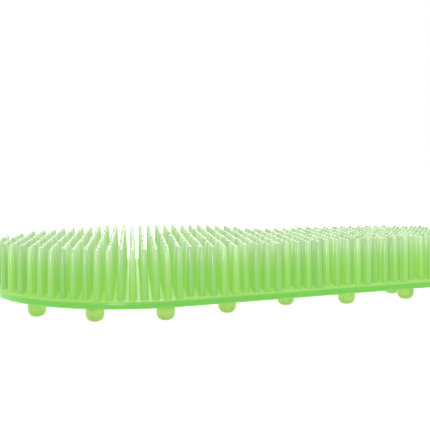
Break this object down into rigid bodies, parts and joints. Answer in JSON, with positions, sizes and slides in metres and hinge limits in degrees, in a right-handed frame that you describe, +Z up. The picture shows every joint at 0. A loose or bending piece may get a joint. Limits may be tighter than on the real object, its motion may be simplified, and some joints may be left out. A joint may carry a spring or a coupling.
{
  "type": "slicker brush",
  "caption": "Soft moulded grooming pad with a round head and a narrow heel: a thin flexible plate carries dense tapered bristles above and domed pegs below.",
  "frame": {"origin": "under the middle of the pad's length and width, on the plane of the peg feet", "axes": "+X along the pad from the round head to the narrow heel, +Y across it towards the curved back edge with the waist, +Z up along the bristles"},
  "size_m": [0.133, 0.074, 0.0156],
  "materials": {
    "plate_rubber": "glossy translucent bright green, stronger colour along its edge",
    "bristle_rubber": "glossy clear pale green, almost white at the tips",
    "peg_rubber": "glossy clear yellow green"
  },
  "bodies": {
    "root": {"back_peg_1": "peg_rubber", "back_peg_2": "peg_rubber", "base_plate": "plate_rubber", "bristle_row_01": "bristle_rubber", "bristle_row_02": "bristle_rubber", "bristle_row_03": "bristle_rubber", "bristle_row_04": "bristle_rubber", "bristle_row_05": "bristle_rubber", "bristle_row_06": "bristle_rubber", "bristle_row_07": "bristle_rubber", "bristle_row_08": "bristle_rubber", "bristle_row_09": "bristle_rubber", "bristle_row_10": "bristle_rubber", "bristle_row_11": "bristle_rubber", "bristle_row_12": "bristle_rubber", "bristle_row_13": "bristle_rubber", "bristle_row_14": "bristle_rubber", "bristle_row_15": "bristle_rubber", "bristle_row_16": "bristle_rubber", "bristle_row_17": "bristle_rubber", "bristle_row_18": "bristle_rubber", "bristle_row_19": "bristle_rubber", "bristle_row_20": "bristle_rubber", "bristle_row_21": "bristle_rubber", "bristle_row_22": "bristle_rubber", "bristle_row_23": "bristle_rubber", "bristle_row_24": "bristle_rubber", "bristle_row_25": "bristle_rubber", "bristle_row_26": "bristle_rubber", "bristle_row_27": "bristle_rubber", "bristle_row_28": "bristle_rubber", "bristle_row_29": "bristle_rubber", "head_peg_01": "peg_rubber", "head_peg_02": "peg_rubber", "head_peg_03": "peg_rubber", "head_peg_04": "peg_rubber", "head_peg_05": "peg_rubber", "head_peg_06": "peg_rubber", "head_peg_07": "peg_rubber", "head_peg_08": "peg_rubber", "head_peg_09": "peg_rubber", "head_peg_10": "peg_rubber", "head_peg_11": "peg_rubber", "head_peg_12": "peg_rubber", "heel_peg": "peg_rubber", "middle_peg_1": "peg_rubber", "middle_peg_2": "peg_rubber", "middle_peg_3": "peg_rubber", "side_peg_1": "peg_rubber", "side_peg_2": "peg_rubber", "side_peg_3": "peg_rubber", "side_peg_4": "peg_rubber"}
  },
  "joints": []
}
